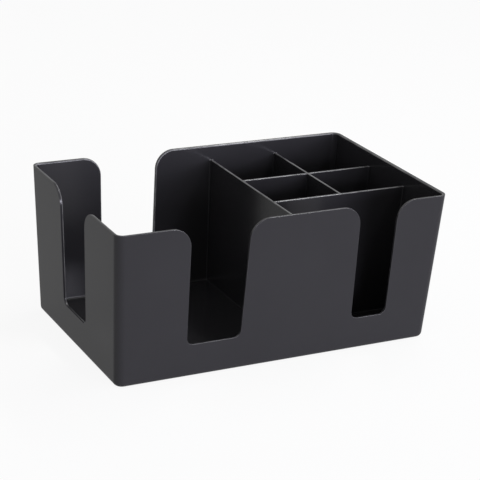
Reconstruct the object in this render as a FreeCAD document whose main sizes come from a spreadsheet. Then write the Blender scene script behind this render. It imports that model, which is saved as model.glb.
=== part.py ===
import FreeCAD, Part
import math
import os
import Sketcher

# Six compartment bar caddy, one black moulding: a drafted tub with four finger notches
# and thin dividing walls that stand on its floor. Millimetres, +Z up, +X to the right seen
# from the front, origin in the middle of the footprint on the surface it stands on.

SIZES = [
    ("rim_length", 247.0, "tub, outside, left to right at the rim"),
    ("rim_width", 152.0, "tub, outside, front to back at the rim"),
    ("height", 108.0, "tub, from the table to the rim"),
    ("base_inset", 5.0, "how far each wall leans in from the rim to the table"),
    ("wall_thickness", 2.2, "tub walls"),
    ("corner_radius", 6.0, "upright outer corners"),
    ("base_edge_radius", 3.5, "outer edge round the underside"),
    ("foot_height", 1.6, "hollow under the floor, inside the standing band"),
    ("foot_band", 3.0, "flat band that the tub stands on"),
    ("floor_thickness", 2.4, "tub floor"),
    ("floor_fillet", 1.6, "inside, where the walls meet the floor"),
    ("rim_round", 0.6, "both edges of the rim"),
    ("sill_height", 24.0, "bottom of every notch above the table"),
    ("napkin_notch_x", -50.0, "middle of the front and back napkin notches"),
    ("napkin_sill_width", 39.5, "napkin notches, at the sill"),
    ("napkin_mouth_width", 43.2, "napkin notches, at the rim if it had no shoulders"),
    ("channel_notch_x", 69.0, "middle of the notch in front of the long channel"),
    ("channel_sill_width", 27.6, "channel notch, at the sill"),
    ("channel_mouth_width", 29.6, "channel notch, at the rim if it had no shoulders"),
    ("shoulder_radius", 14.0, "round from the rim down into a notch"),
    ("sill_corner_radius", 5.0, "lower corners of a notch"),
    ("cut_rise", 2.0, "how far the notch outlines go on above the rim"),
    ("divider_drop", 10.5, "tops of the dividers below the rim"),
    ("divider_top", 1.6, "thickness of a divider at its top"),
    ("divider_foot", 2.4, "thickness of a divider at the floor"),
    ("divider_bevel", 0.4, "both long edges of a divider's top"),
    ("root_spread", 1.2, "how much wider each side of a divider is where it meets a wall"),
    ("root_length", 1.5, "how far from the wall that widening starts"),
    ("seat_depth", 0.5, "how far a divider is drawn into its neighbours before it is trimmed"),
    ("bay_divider_x", 15.9, "between the napkin bay and the rest"),
    ("cross_divider_x", 69.2, "between the left and the right cells"),
    ("cell_divider_y", 23.4, "between the rear and the middle cells"),
    ("channel_divider_y", -23.4, "between the middle cells and the front channel"),
]
size = {name: value for name, value, note in SIZES}
floor_top = size["foot_height"] + size["floor_thickness"]
panel_foot = floor_top - size["seat_depth"]
panel_head = size["height"] - size["divider_drop"]
TOLERANCE = 1e-3
ORIGIN = (-1, 1)  # a sketch's own origin, as a geometry number and a point number

doc = FreeCAD.newDocument("bar_caddy")
sheet = doc.addObject("Spreadsheet::Sheet", "sizes")
for row, (name, value, note) in enumerate(SIZES, start=1):
    sheet.set(f"A{row}", name)
    sheet.set(f"B{row}", str(value))
    sheet.set(f"C{row}", note)
    sheet.setAlias(f"B{row}", name)
doc.recompute()

# Levels and slopes that several pieces share, as expressions on the sheet
LEAN = "(sizes.base_inset / sizes.height)"
FLOOR_TOP = "(sizes.foot_height + sizes.floor_thickness)"
PANEL_FOOT = f"({FLOOR_TOP} - sizes.seat_depth)"
PANEL_HEAD = "(sizes.height - sizes.divider_drop)"


def new_body(label):
    body = doc.addObject("PartDesign::Body", label)
    body.Label = label
    return body


def new_sketch(body, name, role, level=None):
    """A sketch on one of the body's origin planes, lifted along its normal to a level."""
    sketch = body.newObject("Sketcher::SketchObject", name)
    plane = [item for item in body.Origin.OriginFeatures if item.Role == role][0]
    sketch.AttachmentSupport = [(plane, "")]
    sketch.MapMode = "FlatFace"
    if level:
        sketch.setExpression(".AttachmentOffset.Base.z", level)
    return sketch


def new_feature(body, kind, name, **settings):
    """A feature of a body. Text after an equals sign is an expression, the rest is set as it is."""
    feature = body.newObject(f"PartDesign::{kind}", name)
    for prop, value in settings.items():
        if isinstance(value, str) and value.startswith("="):
            feature.setExpression(prop, value[1:])
        else:
            setattr(feature, prop, value)
    doc.recompute()
    return feature


def edges_where(shape, test):
    return [f"Edge{number}" for number, edge in enumerate(shape.Edges, start=1) if test(edge)]


def faces_where(shape, test):
    return [f"Face{number}" for number, face in enumerate(shape.Faces, start=1) if test(face)]


def near(first, second):
    return abs(first - second) < TOLERANCE


def at_level(item, level):
    """True if an edge or face lies flat at a level."""
    return near(item.BoundBox.ZMin, level) and near(item.BoundBox.ZMax, level)


def limit(sketch, kind, *where):
    return sketch.addConstraint(Sketcher.Constraint(kind, *where))


def dimension(sketch, name, kind, where, start, expression):
    """A named dimension with its value to start from and the expression it follows."""
    index = limit(sketch, kind, *where, start)
    sketch.renameConstraint(index, name)
    sketch.setExpression(f".Constraints.{name}", expression)


class Outline:
    """A closed chain of sketch pieces: two points make a line and three an arc. smooth lists
    the pieces whose end runs smoothly into the next one."""

    def __init__(self, sketch, pieces, smooth=()):
        self.ids = [add_piece(sketch, piece) for piece in pieces]
        self.first = []
        for piece_id, piece in zip(self.ids, pieces):
            gap = sketch.getPoint(piece_id, 1) - FreeCAD.Vector(*piece[0], 0)
            self.first.append(1 if gap.Length < TOLERANCE else 2)
        count = len(pieces)
        for number in range(count):
            kind = "Tangent" if number in smooth else "Coincident"
            limit(sketch, kind, *self.end(number), *self.start((number + 1) % count))

    def start(self, number):
        return self.ids[number], self.first[number]

    def end(self, number):
        return self.ids[number], 3 - self.first[number]


def add_piece(sketch, points, construction=False):
    corners = [FreeCAD.Vector(*point, 0) for point in points]
    piece = Part.LineSegment(*corners) if len(corners) == 2 else Part.Arc(*corners)
    return sketch.addGeometry(piece, construction)


def rectangle(sketch, length, width, start_length, start_width):
    """A rectangle centred on the sketch's origin."""
    x = start_length / 2
    y = start_width / 2
    corners = [(-x, -y), (x, -y), (x, y), (-x, y)]
    outline = Outline(sketch, list(zip(corners, corners[1:] + corners[:1])))
    for side, kind in zip(outline.ids, ["Horizontal", "Vertical", "Horizontal", "Vertical"]):
        limit(sketch, kind, side)
    limit(sketch, "Symmetric", *outline.start(0), *outline.end(1), *ORIGIN)
    front, side = [(*outline.start(number), *outline.end(number)) for number in (0, 1)]
    dimension(sketch, "length", "DistanceX", front, start_length, length)
    dimension(sketch, "width", "DistanceY", side, start_width, width)


def notch_outline(sketch, centre, sill_width, mouth_width, start):
    """A notch seen square on: rounded shoulders at the rim, leaning sides, rounded lower
    corners and a level sill. start holds its centre and widths as numbers."""
    middle, half_sill, half_mouth = start[0], start[1] / 2, start[2] / 2
    shoulder, corner = size["shoulder_radius"], size["sill_corner_radius"]
    sill, rim = size["sill_height"], size["height"]
    top = rim + size["cut_rise"]
    slant = math.atan2(half_mouth - half_sill, rim - sill)

    def across(level):
        return half_sill + (level - sill) * math.tan(slant)

    side_levels = (rim - shoulder * (1 + math.sin(slant)), sill + corner * (1 - math.sin(slant)))
    side_head, side_foot = [(across(level), level) for level in side_levels]
    shoulder_end = across(rim - shoulder) + shoulder / math.cos(slant)
    corner_end = across(sill + corner) - corner / math.cos(slant)
    half_turn = (math.pi / 2 + slant) / 2
    half_bend = (math.pi / 2 - slant) / 2
    shoulder_middle = (
        shoulder_end - shoulder * math.sin(half_turn),
        rim - shoulder * (1 - math.cos(half_turn)),
    )
    corner_middle = (
        corner_end + corner * math.sin(half_bend),
        sill + corner * (1 - math.cos(half_bend)),
    )

    def left(across_value, level):
        return (middle - across_value, level)

    def right(across_value, level):
        return (middle + across_value, level)

    outline = Outline(
        sketch,
        [
            (right(shoulder_end, top), left(shoulder_end, top)),
            (left(shoulder_end, top), left(shoulder_end, rim)),
            (left(shoulder_end, rim), left(*shoulder_middle), left(*side_head)),
            (left(*side_head), left(*side_foot)),
            (left(*side_foot), left(*corner_middle), left(corner_end, sill)),
            (left(corner_end, sill), right(corner_end, sill)),
            (right(corner_end, sill), right(*corner_middle), right(*side_foot)),
            (right(*side_foot), right(*side_head)),
            (right(*side_head), right(*shoulder_middle), right(shoulder_end, rim)),
            (right(shoulder_end, rim), right(shoulder_end, top)),
        ],
        smooth=(2, 3, 4, 5, 6, 7),
    )
    guides = {}
    for side, sign in (("left", -1), ("right", 1)):
        foot = (middle + sign * half_sill, sill)
        mouth = (middle + sign * half_mouth, rim)
        guides[side] = add_piece(sketch, (foot, mouth), True)
        for name, end, width, at in (("sill", 1, sill_width, foot), ("mouth", 2, mouth_width, mouth)):
            where = (*ORIGIN, guides[side], end)
            reach = f"{centre} + {sign} * {width} / 2"
            level = "sizes.sill_height" if name == "sill" else "sizes.height"
            dimension(sketch, f"{side}_{name}_across", "DistanceX", where, at[0], reach)
            dimension(sketch, f"{side}_{name}_level", "DistanceY", where, at[1], level)
    for piece, side in ((3, "left"), (7, "right")):
        limit(sketch, "PointOnObject", *outline.start(piece), guides[side])
        limit(sketch, "PointOnObject", *outline.end(piece), guides[side])
    for piece, kind in ((0, "Horizontal"), (1, "Vertical"), (5, "Horizontal"), (9, "Vertical")):
        limit(sketch, kind, outline.ids[piece])
    limit(sketch, "Horizontal", *outline.start(5), guides["left"], 1)
    for rim_end, side in ((outline.start(2), "left"), (outline.end(8), "right")):
        limit(sketch, "Vertical", *rim_end, rim_end[0], 3)
        limit(sketch, "Horizontal", *rim_end, guides[side], 2)
    limit(sketch, "Equal", outline.ids[2], outline.ids[8])
    limit(sketch, "Equal", outline.ids[4], outline.ids[6])
    dimension(sketch, "shoulder", "Radius", (outline.ids[2],), shoulder, "sizes.shoulder_radius")
    dimension(sketch, "corner", "Radius", (outline.ids[4],), corner, "sizes.sill_corner_radius")
    dimension(sketch, "top", "DistanceY", (*ORIGIN, *outline.start(0)), top, "sizes.height + sizes.cut_rise")


# Tub


def tub():
    """Drafted box, open at the top, with round corners, a standing band under its floor and
    four notches."""
    body = new_body("tub")
    rim_x, rim_y = size["rim_length"] / 2, size["rim_width"] / 2
    wall, rim = size["wall_thickness"], size["height"]

    outline = new_sketch(body, "tub_outline", "XY_Plane")
    rectangle(outline, "sizes.rim_length", "sizes.rim_width", 2 * rim_x, 2 * rim_y)
    block = new_feature(body, "Pad", "tub_block", Profile=outline, Length="=sizes.height")

    mouth = new_sketch(body, "tub_mouth", "XY_Plane", "sizes.height")
    rectangle(
        mouth,
        "sizes.rim_length - 2 * sizes.wall_thickness",
        "sizes.rim_width - 2 * sizes.wall_thickness",
        2 * (rim_x - wall),
        2 * (rim_y - wall),
    )
    depth = f"=sizes.height - {FLOOR_TOP}"
    hollow = new_feature(body, "Pocket", "tub_hollow", Profile=mouth, Length=depth)

    def is_upright(face, x, y):
        """True if a face is one of the four uprights x and y out from the middle."""
        middle = face.CenterOfMass
        at_end = near(abs(middle.x), x) and near(middle.y, 0)
        at_side = near(abs(middle.y), y) and near(middle.x, 0)
        return at_end or at_side

    drafted = hollow
    for name, inset, outward in (("inner", wall, False), ("outer", 0, True)):
        x, y = rim_x - inset, rim_y - inset
        shape = drafted.Shape
        drafted = new_feature(
            body,
            "Draft",
            f"tub_{name}_draft",
            Base=(drafted, faces_where(shape, lambda face: is_upright(face, x, y))),
            NeutralPlane=(drafted, faces_where(shape, lambda face: at_level(face, rim))),
            Angle=f"=atan({LEAN})",
            Reversed=outward,
        )

    def is_upright_corner(edge, x, foot):
        box = edge.BoundBox
        reach = max(abs(box.XMin), abs(box.XMax))
        return near(reach, x) and near(box.ZMin, foot) and near(box.ZMax, rim)

    def rounded(base, name, radius, test):
        chosen = edges_where(base.Shape, test)
        return new_feature(body, "Fillet", name, Base=(base, chosen), Radius=f"={radius}")

    outer = rounded(
        drafted, "tub_outer_corners", "sizes.corner_radius", lambda edge: is_upright_corner(edge, rim_x, 0)
    )
    inner = rounded(
        outer,
        "tub_inner_corners",
        "sizes.corner_radius - sizes.wall_thickness",
        lambda edge: is_upright_corner(edge, rim_x - wall, floor_top),
    )
    rounds = inner
    for name, radius, level in (
        ("tub_base_edge", "sizes.base_edge_radius", 0),
        ("tub_floor_fillet", "sizes.floor_fillet", floor_top),
        ("tub_rim_rounds", "sizes.rim_round", rim),
    ):
        rounds = rounded(rounds, name, radius, lambda edge: at_level(edge, level))

    standing = new_sketch(body, "tub_standing_band", "XY_Plane")
    margin = "2 * (sizes.base_inset + sizes.base_edge_radius + sizes.foot_band)"
    start_margin = size["base_inset"] + size["base_edge_radius"] + size["foot_band"]
    rectangle(
        standing,
        f"sizes.rim_length - {margin}",
        f"sizes.rim_width - {margin}",
        2 * (rim_x - start_margin),
        2 * (rim_y - start_margin),
    )
    new_feature(body, "Pocket", "tub_underside", Profile=standing, Length="=sizes.foot_height", Reversed=True)

    napkin = (size["napkin_sill_width"], size["napkin_mouth_width"])
    channel = (size["channel_sill_width"], size["channel_mouth_width"])
    napkin_names = ("sizes.napkin_sill_width", "sizes.napkin_mouth_width")
    channel_names = ("sizes.channel_sill_width", "sizes.channel_mouth_width")

    both = new_sketch(body, "napkin_notches", "XZ_Plane")
    notch_outline(both, "sizes.napkin_notch_x", *napkin_names, (size["napkin_notch_x"], *napkin))
    new_feature(body, "Pocket", "napkin_notch_cuts", Profile=both, Type="ThroughAll", Midplane=True)

    side = new_sketch(body, "side_notch", "YZ_Plane")
    notch_outline(side, "0", *napkin_names, (0, *napkin))
    new_feature(body, "Pocket", "side_notch_cut", Profile=side, Type="ThroughAll")

    front = new_sketch(body, "channel_notch", "XZ_Plane")
    notch_outline(front, "sizes.channel_notch_x", *channel_names, (size["channel_notch_x"], *channel))
    new_feature(body, "Pocket", "channel_notch_cut", Profile=front, Type="ThroughAll", Reversed=True)
    return body


# Dividers


def inner_wall(rim_size, level):
    """Distance from the middle of the tub to the inner face of a wall at a level."""
    return f"({rim_size} / 2 - sizes.wall_thickness - {LEAN} * (sizes.height - {level}))"


def half_thickness(level):
    """Half the thickness of a divider at a level."""
    slope = f"(sizes.divider_foot - sizes.divider_top) / ({PANEL_HEAD} - {FLOOR_TOP})"
    return f"(sizes.divider_top + ({PANEL_HEAD} - {level}) * {slope}) / 2"


def inner_wall_start(rim_size, level):
    lean = size["base_inset"] / size["height"]
    return rim_size / 2 - size["wall_thickness"] - lean * (size["height"] - level)


def half_thickness_start(level):
    slope = (size["divider_foot"] - size["divider_top"]) / (panel_head - floor_top)
    return (size["divider_top"] + (panel_head - level) * slope) / 2


def panel_section(sketch, along_x, middle, first, last, half):
    """Level section through a divider that runs from first to last. It widens towards each
    end and goes on a little way into what it meets. Each place is a pair: the number to start
    from and the expression it follows."""
    along, across = ("DistanceX", "DistanceY") if along_x else ("DistanceY", "DistanceX")
    straight, square = ("Horizontal", "Vertical") if along_x else ("Vertical", "Horizontal")
    spread, length, sunk = size["root_spread"], size["root_length"], size["seat_depth"]
    stations = [
        ("start_cap", first[0] - sunk, f"{first[1]} - sizes.seat_depth", spread),
        ("start_wall", first[0], first[1], spread),
        ("start_side", first[0] + length, f"{first[1]} + sizes.root_length", 0),
        ("finish_side", last[0] - length, f"{last[1]} - sizes.root_length", 0),
        ("finish_wall", last[0], last[1], spread),
        ("finish_cap", last[0] + sunk, f"{last[1]} + sizes.seat_depth", spread),
    ]
    low = [(name, run, text, -half[0] - wider) for name, run, text, wider in stations]
    high = [(name, run, text, half[0] + wider) for name, run, text, wider in reversed(stations)]
    places = low + high
    points = [(run, middle[0] + side) for name, run, text, side in places]
    if not along_x:
        points = [(y, x) for x, y in points]
    outline = Outline(sketch, list(zip(points, points[1:] + points[:1])))
    for number, ((name, run, text, side), point) in enumerate(zip(places, points)):
        here = (*ORIGIN, *outline.start(number))
        edge = "low" if side < 0 else "high"
        if name.endswith(("wall", "side")) or edge == "low":
            dimension(sketch, f"{edge}_{name}_run", along, here, run, text)
        if name.endswith("cap") or name == "start_side":
            wider = " + sizes.root_spread" if name.endswith("cap") else ""
            sign = -1 if edge == "low" else 1
            reach = f"{middle[1]} + {sign} * ({half[1]}{wider})"
            dimension(sketch, f"{edge}_{name}_reach", across, here, middle[0] + side, reach)
    for number, kind in (
        (0, straight),
        (2, straight),
        (4, straight),
        (5, square),
        (6, straight),
        (8, straight),
        (10, straight),
        (11, square),
    ):
        limit(sketch, kind, outline.ids[number])


def at_wall(rim_name, sign):
    """Where a divider meets an outer wall, as a rule from a level to a number and an expression."""

    def rule(level, level_text):
        number = sign * inner_wall_start(size[rim_name], level)
        return number, f"{sign} * {inner_wall('sizes.' + rim_name, level_text)}"

    return rule


def at_divider(place_name, sign):
    """Where a divider meets the side of another one, as the same kind of rule."""

    def rule(level, level_text):
        number = size[place_name] + sign * half_thickness_start(level)
        return number, f"(sizes.{place_name} + {sign} * {half_thickness(level_text)})"

    return rule


def divider(label, along_x, place_name, first, last, neighbours):
    """A divider lofted from its foot to its bevelled top and trimmed to what it meets."""
    panel = new_body(f"{label}_panel")
    sections = []
    for name, level, level_text, drawn_in in (
        ("foot", panel_foot, PANEL_FOOT, 0),
        ("edge", panel_head - size["divider_bevel"], f"({PANEL_HEAD} - sizes.divider_bevel)", 0),
        ("head", panel_head, PANEL_HEAD, 1),
    ):
        sketch = new_sketch(panel, f"{label}_{name}", "XY_Plane", level_text)
        middle = (size[place_name], f"sizes.{place_name}")
        half = (
            half_thickness_start(level) - drawn_in * size["divider_bevel"],
            f"({half_thickness(level_text)} - {drawn_in} * sizes.divider_bevel)",
        )
        panel_section(sketch, along_x, middle, first(level, level_text), last(level, level_text), half)
        sections.append(sketch)
    loft_settings = {"Profile": sections[0], "Sections": sections[1:], "Ruled": True}
    new_feature(panel, "AdditiveLoft", f"{label}_loft", **loft_settings)
    trimmed = panel
    for neighbour in neighbours:
        cut = doc.addObject("Part::Cut", f"{label}_seat")
        cut.Base = trimmed
        cut.Tool = neighbour
        trimmed = cut
        doc.recompute()
    trimmed.Label = label
    return trimmed


caddy_tub = tub()
back, front = at_wall("rim_width", 1), at_wall("rim_width", -1)
right = at_wall("rim_length", 1)
bay_divider = divider("bay_divider", False, "bay_divider_x", front, back, [caddy_tub])
beside_bay = at_divider("bay_divider_x", 1)
beside_both = [caddy_tub, bay_divider]
cell_divider = divider("cell_divider", True, "cell_divider_y", beside_bay, right, beside_both)
channel_divider = divider("channel_divider", True, "channel_divider_y", beside_bay, right, beside_both)
rear_cross_divider = divider(
    "rear_cross_divider",
    False,
    "cross_divider_x",
    at_divider("cell_divider_y", 1),
    back,
    [caddy_tub, cell_divider],
)
middle_cross_divider = divider(
    "middle_cross_divider",
    False,
    "cross_divider_x",
    at_divider("channel_divider_y", 1),
    at_divider("cell_divider_y", -1),
    [caddy_tub, cell_divider, channel_divider],
)
parts = [
    caddy_tub,
    bay_divider,
    cell_divider,
    channel_divider,
    rear_cross_divider,
    middle_cross_divider,
]

doc.recompute()
for item in doc.Objects:
    if "Invalid" in item.State or "Error" in item.State:
        raise RuntimeError(f"{item.Label} failed: {item.State}")
os.makedirs("parts", exist_ok=True)
for item in parts:
    shape = item.Shape
    if shape.isNull() or not shape.isValid():
        raise RuntimeError(f"{item.Label} has no valid shape")
    shape.exportStep(f"parts/{item.Label}.step")
    print(item.Label, round(shape.Volume), "mm3", len(shape.Faces), "faces")
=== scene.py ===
import math

import bmesh
import bpy
from mathutils import Matrix, Vector


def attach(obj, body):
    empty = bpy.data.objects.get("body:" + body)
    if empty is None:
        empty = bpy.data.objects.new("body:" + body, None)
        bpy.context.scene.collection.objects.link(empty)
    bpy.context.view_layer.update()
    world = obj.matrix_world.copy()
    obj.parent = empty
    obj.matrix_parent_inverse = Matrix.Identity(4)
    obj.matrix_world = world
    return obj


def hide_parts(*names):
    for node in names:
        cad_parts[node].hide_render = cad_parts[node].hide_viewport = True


# Black moulded bar caddy on a pale surface. The real caddy is one moulding. Here its tub is a
# drafted block less its hollow and the notches, and each divider is a slab less the rooms on its
# two sides, so that its root and foot run into the tub in fillets. Each piece stands for one
# node. Sizes in millimetres until a mesh is written.

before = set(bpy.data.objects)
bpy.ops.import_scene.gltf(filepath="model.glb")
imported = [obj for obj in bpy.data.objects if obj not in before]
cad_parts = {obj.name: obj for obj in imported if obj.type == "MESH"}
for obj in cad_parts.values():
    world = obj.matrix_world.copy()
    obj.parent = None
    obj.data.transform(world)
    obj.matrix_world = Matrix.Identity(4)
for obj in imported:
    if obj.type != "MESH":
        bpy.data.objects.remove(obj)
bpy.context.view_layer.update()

MM = 0.001

# Tub
RIM_X, RIM_Y, RIM_Z = 123.5, 76.0, 108.0
LEAN = 5.0 / RIM_Z
WALL = 2.2
OUTER_CORNER = 6.0
INNER_CORNER = OUTER_CORNER - WALL
BASE_EDGE = 3.5
BAND = 3.0
RECESS = 1.6
RECESS_CORNER = 2.5
FLOOR_TOP = 4.0
FLOOR_FILLET = 1.6
EDGE_ROUND = 1.0  # inner edges of the rim and the notches
OUTER_EDGE, BAND_EDGE = 0.25, 0.4  # share of that for the outer edges and the band underneath
OUTER_WEAR_AND_HIGHLIGHT = 0.3  # how far the outer edges are paled, where the inner ones are 1: partly wear, partly painted highlight
ROUNDS_SLOT = 1  # material slot that tells the rounds from the rest while the tub is made

# Dividers
DIVIDER_TOP = 97.5
HALF_TOP, HALF_FOOT = 0.8, 1.2
ROOT = 1.0  # fillets where a divider runs into walls, floor and other dividers
ROOT_EDGE = 0.02  # left off a fillet's feather edge
TOP_ROUND = 0.5
ROOM_ABOVE = 1.0  # how far a room is cut on above its dividers
OFF_WALL = 0.5  # how far it keeps off the tub's walls there
SEAT = 0.3  # how far a divider goes into what carries it
BAY_X, CROSS_X = 15.9, 69.2
CELL_Y, CHANNEL_Y = 23.4, -23.4

# Notches: middle, width at the sill and width at the rim
SILL = 24.0
NAPKIN_NOTCH = (39.5, 43.2)
CHANNEL_NOTCH = (27.6, 29.6)
NAPKIN_X, CHANNEL_NOTCH_X = -50.0, 69.0
SHOULDER, SILL_CORNER = 14.0, 5.0
CLEAR = 3.0  # how far a cutting body goes on past what it cuts
PAST_WALL = 4 * WALL  # how deep a one-sided notch reaches in from the rim's outside

# Fineness of the mesh
CORNER_STEPS = 8
FILLET_STEPS = 6
BASE_STEPS = 6
SILL_STEPS = 8
SHOULDER_STEPS = 16
ROUND_SEGMENTS = 4
SMALLEST_RADIUS = 0.02
MERGE = 0.004  # points closer than this after the cuts are one
NEAR = 0.1  # slack in telling which level an edge is at
ROUNDED_FROM = math.radians(45)  # edges that turn by less aren't rounded
SHARP_FROM = math.radians(50)  # edges that turn by less are shaded smooth

# Plastic
DARK_BLACK = (0.0193, 0.0188, 0.0208, 1)
PALE_BLACK = (0.021, 0.0205, 0.0226, 1)
# paler colour of the rounded edges: partly wear, partly painted highlight along the edges that
# catch the light
EDGE_WEAR_AND_HIGHLIGHT_BLACK = (0.16, 0.1595, 0.161, 1)
SATIN = (0.185, 0.215)
WORN_ROUGHNESS = 0.12
CLOUD_SCALE, WEAR_SCALE, GRAIN_SCALE = 22, 90, 2600
GRAIN_STRENGTH, GRAIN_DEPTH = 0.1, 0.00006


# Material


def black_plastic():
    """Satin black moulded plastic: fine grain, faint clouds, rounded edges smoother and paler. The
    paler colour is partly wear and partly a painted highlight."""
    material = bpy.data.materials.new("black_plastic")
    material.use_nodes = True
    nodes, links = material.node_tree.nodes, material.node_tree.links
    shader = nodes["Principled BSDF"]
    shader.inputs["IOR"].default_value = 1.45
    where = nodes.new("ShaderNodeTexCoord").outputs["Object"]
    wear_and_highlight = nodes.new("ShaderNodeAttribute")
    wear_and_highlight.attribute_name = "wear_and_highlight"

    def noise(scale, detail, rough=0.5):
        node = nodes.new("ShaderNodeTexNoise")
        node.inputs["Scale"].default_value = scale
        node.inputs["Detail"].default_value = detail
        node.inputs["Roughness"].default_value = rough
        links.new(where, node.inputs["Vector"])
        return node.outputs["Fac"]

    def spread(source, low, high, source_low=0.0, source_high=1.0):
        node = nodes.new("ShaderNodeMapRange")
        ends = {"From Min": source_low, "From Max": source_high, "To Min": low, "To Max": high}
        for socket, value in ends.items():
            node.inputs[socket].default_value = value
        links.new(source, node.inputs["Value"])
        return node.outputs["Result"]

    def times(first, second):
        node = nodes.new("ShaderNodeMath")
        node.operation = "MULTIPLY"
        links.new(first, node.inputs[0])
        links.new(second, node.inputs[1])
        return node.outputs["Value"]

    def mixed(kind, share, first, second):
        """A colour or a number, from first where share is 0 to second where it is 1."""
        node = nodes.new("ShaderNodeMix")
        node.data_type = kind
        number = 2 if kind == "FLOAT" else 6
        links.new(share, node.inputs[0])
        for socket, value in ((node.inputs[number], first), (node.inputs[number + 1], second)):
            if isinstance(value, bpy.types.NodeSocket):
                links.new(value, socket)
            else:
                socket.default_value = value
        return node.outputs[0 if kind == "FLOAT" else 2]

    cloud = spread(noise(CLOUD_SCALE, 2), 0, 1, 0.2, 0.8)
    # Painted highlight and wear: the rounded edges, most of all the inner ones and the divider
    # tops, are paler and smoother.
    wear_and_highlight_share = times(wear_and_highlight.outputs["Fac"], spread(noise(WEAR_SCALE, 3), 0.35, 1, 0.35, 0.65))
    plain = mixed("RGBA", cloud, DARK_BLACK, PALE_BLACK)
    links.new(mixed("RGBA", wear_and_highlight_share, plain, EDGE_WEAR_AND_HIGHLIGHT_BLACK), shader.inputs["Base Color"])
    satin = spread(cloud, *SATIN)
    links.new(mixed("FLOAT", wear_and_highlight_share, satin, WORN_ROUGHNESS), shader.inputs["Roughness"])
    bump = nodes.new("ShaderNodeBump")
    bump.inputs["Strength"].default_value = GRAIN_STRENGTH
    bump.inputs["Distance"].default_value = GRAIN_DEPTH
    links.new(noise(GRAIN_SCALE, 2, 0.6), bump.inputs["Height"])
    links.new(bump.outputs["Normal"], shader.inputs["Normal"])
    return material


plastic = black_plastic()


# Mesh helpers


def rounded_ring(x_low, x_high, y_low, y_high, radii, z):
    """Points round a level rectangle whose corners have their own radii. The corners come in
    the order right front, right back, left back, left front."""
    corners = (
        (x_high, y_low, 1, -1), (x_high, y_high, 1, 1),
        (x_low, y_high, -1, 1), (x_low, y_low, -1, -1),
    )
    points = []
    for number, (x, y, side_x, side_y) in enumerate(corners):
        radius = max(radii[number], SMALLEST_RADIUS)
        centre_x, centre_y = x - side_x * radius, y - side_y * radius
        first = math.radians(90 * number - 90)
        for step in range(CORNER_STEPS + 1):
            turn = first + math.radians(90) * step / CORNER_STEPS
            ahead_x, ahead_y = radius * math.cos(turn), radius * math.sin(turn)
            points.append((centre_x + ahead_x, centre_y + ahead_y, z))
    return points


def lofted(rings):
    """A closed mesh through rings of equally many points, from the lowest to the highest."""
    bm = bmesh.new()
    rows = [[bm.verts.new([value * MM for value in point]) for point in ring] for ring in rings]
    count = len(rows[0])
    for low, high in zip(rows, rows[1:]):
        for here in range(count):
            after = (here + 1) % count
            bm.faces.new((low[here], low[after], high[after], high[here]))
    bm.faces.new(rows[0][::-1])
    bm.faces.new(rows[-1])
    return bm


def prism(outline, along_x, start, end):
    """A closed mesh: an outline seen square on, carried along one level axis."""
    bm = bmesh.new()
    rows = []
    for depth in (start, end):
        points = [(depth, s, z) if along_x else (s, depth, z) for s, z in outline]
        rows.append([bm.verts.new([value * MM for value in point]) for point in points])
    count = len(outline)
    for here in range(count):
        after = (here + 1) % count
        bm.faces.new((rows[0][here], rows[0][after], rows[1][after], rows[1][here]))
    bm.faces.new(rows[0][::-1])
    bm.faces.new(rows[1])
    bmesh.ops.recalc_face_normals(bm, faces=bm.faces)
    return bm


def new_object(name, bm):
    mesh = bpy.data.meshes.new(name)
    bm.to_mesh(mesh)
    bm.free()
    obj = bpy.data.objects.new(name, mesh)
    bpy.context.scene.collection.objects.link(obj)
    return obj


def baked(obj):
    """Replaces an object's mesh by what its modifiers make of it."""
    graph = bpy.context.evaluated_depsgraph_get()
    mesh = bpy.data.meshes.new_from_object(obj.evaluated_get(graph), depsgraph=graph)
    old = obj.data
    obj.modifiers.clear()
    obj.data = mesh
    bpy.data.meshes.remove(old)


def cut(obj, cutter):
    step = obj.modifiers.new("cut", "BOOLEAN")
    step.operation = "DIFFERENCE"
    step.solver = "EXACT"
    step.object = cutter
    baked(obj)
    mesh = cutter.data
    bpy.data.objects.remove(cutter)
    bpy.data.meshes.remove(mesh)


# The moulding


def wall_x(z):
    return RIM_X - LEAN * (RIM_Z - z)


def wall_y(z):
    return RIM_Y - LEAN * (RIM_Z - z)


def half_divider(z):
    return HALF_TOP + (HALF_FOOT - HALF_TOP) * (DIVIDER_TOP - z) / (DIVIDER_TOP - FLOOR_TOP)


def block():
    """The outside of the tub as a solid block, hollowed underneath."""
    base_x, base_y = wall_x(0), wall_y(0)
    tilt = math.atan(LEAN)
    tangent = BASE_EDGE * math.tan((math.pi / 2 - tilt) / 2)
    rings = []

    def add(inset, z, corner):
        x, y = base_x - inset, base_y - inset
        rings.append(rounded_ring(-x, x, -y, y, [corner] * 4, z))

    add(BASE_EDGE + BAND, RECESS, RECESS_CORNER)
    add(BASE_EDGE + BAND, 0, RECESS_CORNER)
    for step in range(BASE_STEPS + 1):
        turn = -math.pi / 2 + (math.pi / 2 - tilt) * step / BASE_STEPS
        z = BASE_EDGE + BASE_EDGE * math.sin(turn)
        inset = tangent - BASE_EDGE * math.cos(turn)
        add(inset, z, OUTER_CORNER - inset - LEAN * z)
    add(-LEAN * RIM_Z, RIM_Z, OUTER_CORNER)
    return lofted(rings)


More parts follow.
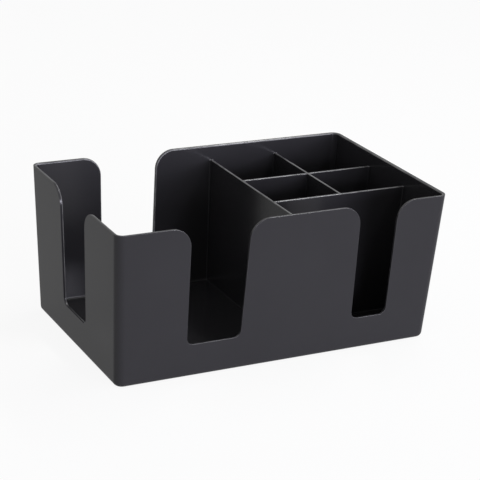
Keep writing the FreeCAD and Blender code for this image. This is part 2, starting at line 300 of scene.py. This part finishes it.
def compartment(left, right, front, back, fillet=ROOT):
    """The room between four sides, open at the top. Each side is None for the tub's wall or the
    middle of a divider. It is rounded at the floor and, unless it has only walls, at the top."""
    sides = (left, right, front, back)
    walls = [side is None for side in sides]
    corner_sides = ((1, 2), (1, 3), (0, 3), (0, 2))
    corners = [
        INNER_CORNER if walls[first] and walls[second] else ROOT for first, second in corner_sides
    ]
    rings = []

    def place(number, z, outward):
        sign = -1 if number in (0, 2) else 1
        if walls[number]:
            return sign * ((wall_x(z) if number < 2 else wall_y(z)) - WALL + outward)
        return sides[number] + sign * (outward - half_divider(z))

    def add(z, inset=0.0, spread=0.0, off_wall=0.0):
        places = []
        for number in range(4):
            outward = -off_wall if walls[number] else spread
            places.append(place(number, z, outward - inset))
        rings.append(rounded_ring(*places, [corner - inset for corner in corners], z))

    for step in range(FILLET_STEPS + 1):
        turn = math.pi / 2 * step / FILLET_STEPS
        add(FLOOR_TOP + fillet * (1 - math.cos(turn)), inset=fillet * (1 - math.sin(turn)))
    if all(walls):
        add(RIM_Z + CLEAR)
        return lofted(rings)
    for step in range(FILLET_STEPS + 1):
        turn = math.pi / 2 * step / FILLET_STEPS
        add(DIVIDER_TOP - TOP_ROUND * (1 - math.sin(turn)), spread=TOP_ROUND * (1 - math.cos(turn)))
    add(DIVIDER_TOP + ROOM_ABOVE, spread=TOP_ROUND, off_wall=OFF_WALL)
    return lofted(rings)


def notch(centre, widths):
    """A notch seen square on: level sill, rounded corners, leaning sides, rounded shoulders."""
    half_sill, half_mouth = widths[0] / 2, widths[1] / 2
    slant = math.atan2(half_mouth - half_sill, RIM_Z - SILL)

    def across(level):
        return half_sill + (level - SILL) * math.tan(slant)

    shoulder = across(RIM_Z - SHOULDER) + SHOULDER / math.cos(slant)
    corner = across(SILL + SILL_CORNER) - SILL_CORNER / math.cos(slant)
    half = []
    for step in range(SILL_STEPS + 1):
        turn = (math.pi / 2 - slant) * step / SILL_STEPS
        level = SILL + SILL_CORNER * (1 - math.cos(turn))
        half.append((corner + SILL_CORNER * math.sin(turn), level))
    for step in range(SHOULDER_STEPS + 1):
        turn = (math.pi / 2 + slant) * (1 - step / SHOULDER_STEPS)
        level = RIM_Z - SHOULDER * (1 - math.cos(turn))
        half.append((shoulder - SHOULDER * math.sin(turn), level))
    half.append((shoulder, RIM_Z + CLEAR))
    right = [(centre + s, z) for s, z in half]
    left = [(centre - s, z) for s, z in reversed(half)]
    return right + left


def depth_in_wall(point):
    """How far a point lies inside the outer surface of the tub."""
    x, y, z = (value / MM for value in point)
    past_x = abs(x) - (wall_x(z) - OUTER_CORNER)
    past_y = abs(y) - (wall_y(z) - OUTER_CORNER)
    if past_x > 0 and past_y > 0:
        return OUTER_CORNER - math.hypot(past_x, past_y)
    return OUTER_CORNER - max(past_x, past_y)


def marked(obj):
    """Marks the edges that are rounded and by how much: the rim, the notches and the band
    underneath."""
    bm = bmesh.new()
    bm.from_mesh(obj.data)
    bmesh.ops.remove_doubles(bm, verts=bm.verts, dist=MERGE * MM)
    weights = bm.edges.layers.float.new("bevel_weight_edge")
    for edge in bm.edges:
        if not edge.is_manifold or not edge.is_convex or edge.calc_face_angle(0) < ROUNDED_FROM:
            continue
        low = min(vert.co.z for vert in edge.verts) / MM
        if low > SILL - NEAR:
            outer = max(depth_in_wall(vert.co) for vert in edge.verts) < WALL / 2
            edge[weights] = OUTER_EDGE if outer else 1.0
        elif low < NEAR:
            edge[weights] = BAND_EDGE
    bm.to_mesh(obj.data)
    bm.free()


def smoothed(obj):
    """Shades the piece smooth, except across its sharp edges."""
    obj.data.shade_smooth()
    obj.data.set_sharp_from_angle(angle=SHARP_FROM)
    step = obj.modifiers.new("normals", "WEIGHTED_NORMAL")
    step.keep_sharp = True
    step.weight = 100
    baked(obj)


def paint_wear_and_highlight(obj, wear_and_highlight_of):
    """Writes how pale each spot is painted, partly for wear and partly as a painted highlight: the
    face's share along the middle of a rounded edge and 0 elsewhere. The share of a face that is on
    no rounded edge is 0."""
    mesh = obj.data
    wear_and_highlight = mesh.attributes.new("wear_and_highlight", "FLOAT", "CORNER")
    shares = [wear_and_highlight_of(face) for face in mesh.polygons]
    inside = [True] * len(mesh.vertices)
    for face in mesh.polygons:
        if not shares[face.index]:
            for vertex in face.vertices:
                inside[vertex] = False
    for face in mesh.polygons:
        for loop in face.loop_indices:
            if inside[mesh.loops[loop].vertex_index]:
                wear_and_highlight.data[loop].value = shares[face.index]


def finished(obj, node):
    obj.data.materials.clear()
    obj.data.materials.append(plastic)
    obj.data.polygons.foreach_set("material_index", [0] * len(obj.data.polygons))
    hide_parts(node)
    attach(obj, "root")


def tub_wear_and_highlight(face):
    """How pale a face of the tub is painted, partly for wear and partly as a painted highlight.
    Only the rounds are, which the bevel puts in slot 1.
    """
    if face.material_index != ROUNDS_SLOT:
        return 0.0
    return 1.0 if depth_in_wall(face.center) > WALL / 2 else OUTER_WEAR_AND_HIGHLIGHT


tub = new_object("tub_shell", block())
cut(tub, new_object("hollow", compartment(None, None, None, None, FLOOR_FILLET)))
before, beyond = -RIM_Y - CLEAR, RIM_Y + CLEAR
for name, outline, along_x, start, end in (
    ("napkin_notches", notch(NAPKIN_X, NAPKIN_NOTCH), False, before, beyond),
    ("end_notch", notch(0, NAPKIN_NOTCH), True, -RIM_X - CLEAR, -RIM_X + PAST_WALL),
    ("channel_notch", notch(CHANNEL_NOTCH_X, CHANNEL_NOTCH), False, before, -RIM_Y + PAST_WALL),
):
    cut(tub, new_object(name, prism(outline, along_x, start, end)))
marked(tub)
tub.data.materials.append(None)
tub.data.materials.append(None)
step = tub.modifiers.new("rounds", "BEVEL")
step.limit_method = "WEIGHT"
step.width = EDGE_ROUND * MM
step.segments = ROUND_SEGMENTS
step.use_clamp_overlap = False
step.miter_outer = "MITER_SHARP"
step.material = ROUNDS_SLOT
baked(tub)
smoothed(tub)
paint_wear_and_highlight(tub, tub_wear_and_highlight)
finished(tub, "tub")


def panel(name, along_x, middle, start, end, near, far):
    """One divider: a slab, widened to take its root fillets, less the rooms on its two sides. Its
    ends and its foot go SEAT deep into what carries them. start and end are None for a wall."""
    rings = []
    for z in (FLOOR_TOP - SEAT, DIVIDER_TOP):
        half = half_divider(z) + ROOT - ROOT_EDGE
        reach = (wall_x(z) if along_x else wall_y(z)) - WALL + SEAT
        length = (-reach if start is None else start, reach if end is None else end)
        width = (middle - half, middle + half)
        (left, right), (front, back) = (length, width) if along_x else (width, length)
        rings.append([(left, front, z), (right, front, z), (right, back, z), (left, back, z)])
    obj = new_object(name, lofted(rings))
    cut(obj, new_object("near", compartment(*near)))
    cut(obj, new_object("far", compartment(*far)))
    smoothed(obj)
    return obj


for name, node, along_x, middle, start, end, near, far in (
    ("bay_panel", "bay_divider", False, BAY_X, None, None,
     (None, BAY_X, None, None), (BAY_X, None, None, None)),
    ("cell_panel", "cell_divider", True, CELL_Y, BAY_X, None,
     (BAY_X, None, CHANNEL_Y, CELL_Y), (BAY_X, None, CELL_Y, None)),
    ("channel_panel", "channel_divider", True, CHANNEL_Y, BAY_X, None,
     (BAY_X, None, None, CHANNEL_Y), (BAY_X, None, CHANNEL_Y, CELL_Y)),
    ("rear_cross_panel", "rear_cross_divider", False, CROSS_X, CELL_Y, None,
     (BAY_X, CROSS_X, CELL_Y, None), (CROSS_X, None, CELL_Y, None)),
    ("middle_cross_panel", "middle_cross_divider", False, CROSS_X, CHANNEL_Y, CELL_Y,
     (BAY_X, CROSS_X, CHANNEL_Y, CELL_Y), (CROSS_X, None, CHANNEL_Y, CELL_Y)),
):
    piece = panel(name, along_x, middle, start, end, near, far)
    # The rounded tops of the dividers are paled in full: partly wear, partly painted highlight.
    paint_wear_and_highlight(piece, lambda face: float(face.center.z > (DIVIDER_TOP - TOP_ROUND) * MM))
    finished(piece, node)


# Floor, light and camera


def backdrop_share(tree, to_camera, in_gloss):
    """How much a surface or the world shows a plain white or grey, and not how it is lit: to the
    camera, and in gloss or glass."""
    path = tree.nodes.new("ShaderNodeLightPath")

    def joined(operation, first, second):
        node = tree.nodes.new("ShaderNodeMath")
        node.operation = operation
        tree.links.new(first, node.inputs[0])
        if isinstance(second, float):
            node.inputs[1].default_value = second
        else:
            tree.links.new(second, node.inputs[1])
        return node.outputs["Value"]

    gloss = joined("MAXIMUM", path.outputs["Is Glossy Ray"], path.outputs["Is Transmission Ray"])
    seen = joined("MULTIPLY", path.outputs["Is Camera Ray"], to_camera)
    return joined("MAXIMUM", seen, joined("MULTIPLY", gloss, in_gloss))


def mixed_shader(tree, share, first, second, output):
    node = tree.nodes.new("ShaderNodeMixShader")
    tree.links.new(share, node.inputs["Fac"])
    tree.links.new(first, node.inputs[1])
    tree.links.new(second, node.inputs[2])
    tree.links.new(node.outputs["Shader"], output)


def floor_paint():
    """Pale matt paint that shows mostly as plain white, with the shadow left faint on it, and in
    gloss mostly as an even grey."""
    material = bpy.data.materials.new("floor_paint")
    material.use_nodes = True
    tree = material.node_tree
    shader = tree.nodes["Principled BSDF"]
    shader.inputs["Base Color"].default_value = (0.85, 0.85, 0.85, 1)
    shader.inputs["Roughness"].default_value = 0.8
    plain = tree.nodes.new("ShaderNodeEmission")
    path = tree.nodes.new("ShaderNodeLightPath")
    strength = tree.nodes.new("ShaderNodeMapRange")
    strength.inputs["To Min"].default_value = FLOOR_GREY_IN_GLOSS
    strength.inputs["To Max"].default_value = 1.0
    tree.links.new(path.outputs["Is Camera Ray"], strength.inputs["Value"])
    tree.links.new(strength.outputs["Result"], plain.inputs["Strength"])
    output = tree.nodes["Material Output"].inputs["Surface"]
    share = backdrop_share(tree, FLOOR_WHITE, FLOOR_SHARE_IN_GLOSS)
    mixed_shader(tree, share, shader.outputs["BSDF"], plain.outputs["Emission"], output)
    return material


FLOOR_REACH = 6.0  # metres each way
FLOOR_WHITE, FLOOR_SHARE_IN_GLOSS, FLOOR_GREY_IN_GLOSS = 0.9, 0.9, 0.37
WORLD_LIGHT, SKY_WHITE_IN_GLOSS = 0.46, 0.3

floor_mesh = bpy.data.meshes.new("floor")
floor_sides = ((-1, -1), (1, -1), (1, 1), (-1, 1))
floor_corners = [(x * FLOOR_REACH, y * FLOOR_REACH, 0) for x, y in floor_sides]
floor_mesh.from_pydata(floor_corners, [], [(0, 1, 2, 3)])
floor = bpy.data.objects.new("floor", floor_mesh)
bpy.context.scene.collection.objects.link(floor)
floor.data.materials.append(floor_paint())

world = bpy.data.worlds.new("studio")
world.use_nodes = True
sky = world.node_tree
sky.nodes["Background"].inputs["Color"].default_value = (1, 1, 1, 1)
sky.nodes["Background"].inputs["Strength"].default_value = WORLD_LIGHT
seen = sky.nodes.new("ShaderNodeBackground")
seen.inputs["Color"].default_value = (1, 1, 1, 1)
seen.inputs["Strength"].default_value = 1.0
mixed_shader(
    sky,
    backdrop_share(sky, 1.0, SKY_WHITE_IN_GLOSS),
    sky.nodes["Background"].outputs["Background"],
    seen.outputs["Background"],
    sky.nodes["World Output"].inputs["Surface"],
)
bpy.context.scene.world = world


def area_light(name, place, target, width, height, power, colour=(1, 1, 1)):
    data = bpy.data.lights.new(name, "AREA")
    data.shape = "RECTANGLE"
    data.size, data.size_y = width, height
    data.energy = power
    data.color = colour
    obj = bpy.data.objects.new(name, data)
    obj.location = place
    obj.rotation_euler = (Vector(target) - Vector(place)).to_track_quat("-Z", "Y").to_euler()
    bpy.context.scene.collection.objects.link(obj)


AIM = (0, 0, 0.05)
area_light("front_light", (1.2, -3.2, 0.59), AIM, 4.4, 1.16, 158.0, (0.96, 0.95, 1.1))
area_light("top_strip", (0.52, 0.05, 1.0), AIM, 1.0, 0.14, 5.0)

# The camera stands where the photograph's did, fitted to the corners of the rim, base and notches.
FOCAL_PIXELS, PICTURE_PIXELS, SENSOR = 1643.16, 480, 36.0
CAMERA_PLACE = (-507.845, -948.216, 473.192)

camera_data = bpy.data.cameras.new("camera")
camera_data.sensor_width = SENSOR
camera_data.lens = FOCAL_PIXELS * SENSOR / PICTURE_PIXELS
camera = bpy.data.objects.new("camera", camera_data)
right = Vector((0.8882355, -0.4562277, 0.0537953))
up = Vector((0.1183086, 0.3403300, 0.9328336))
ahead = Vector((0.4438927, 0.8222115, -0.3562689))
pose = Matrix((right, up, -ahead)).transposed().to_4x4()
pose.translation = Vector(CAMERA_PLACE) * MM
camera.matrix_world = pose
bpy.context.scene.collection.objects.link(camera)
bpy.context.scene.camera = camera
bpy.context.scene.view_settings.view_transform = "Standard"
